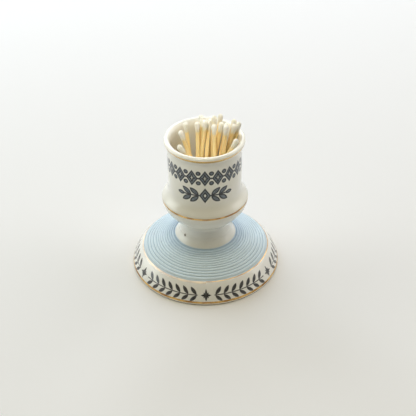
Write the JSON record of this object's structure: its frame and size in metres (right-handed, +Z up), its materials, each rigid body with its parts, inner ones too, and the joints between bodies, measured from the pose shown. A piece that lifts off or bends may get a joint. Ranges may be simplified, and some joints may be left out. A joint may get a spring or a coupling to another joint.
{
  "type": "match striker",
  "caption": "Turned white porcelain match striker: a cup holding loose wooden matches on a short stem, over a ribbed blue cone for striking and a hollow skirted foot.",
  "frame": {"origin": "centre of the foot, on the surface it stands on", "axes": "+Z up along the turning axis, -Y towards the viewer"},
  "size_m": [0.0866, 0.0866, 0.0924],
  "materials": {
    "porcelain": "gloss white glaze, matt blue striking cone, gilt lines",
    "stick_wood": "pale bare wood",
    "head_dip": "matt white dip"
  },
  "bodies": {
    "root": {"porcelain_body": "porcelain", "match_01_stick": "stick_wood", "match_01_head": "head_dip", "match_02_stick": "stick_wood", "match_02_head": "head_dip", "match_03_stick": "stick_wood", "match_03_head": "head_dip", "match_04_stick": "stick_wood", "match_04_head": "head_dip", "match_05_stick": "stick_wood", "match_05_head": "head_dip", "match_06_stick": "stick_wood", "match_06_head": "head_dip", "match_07_stick": "stick_wood", "match_07_head": "head_dip", "match_08_stick": "stick_wood", "match_08_head": "head_dip", "match_09_stick": "stick_wood", "match_09_head": "head_dip", "match_10_stick": "stick_wood", "match_10_head": "head_dip", "match_11_stick": "stick_wood", "match_11_head": "head_dip", "match_12_stick": "stick_wood", "match_12_head": "head_dip", "match_13_stick": "stick_wood", "match_13_head": "head_dip", "match_14_stick": "stick_wood", "match_14_head": "head_dip", "match_15_stick": "stick_wood", "match_15_head": "head_dip", "match_16_stick": "stick_wood", "match_16_head": "head_dip", "match_17_stick": "stick_wood", "match_17_head": "head_dip", "match_18_stick": "stick_wood", "match_18_head": "head_dip"}
  },
  "joints": []
}
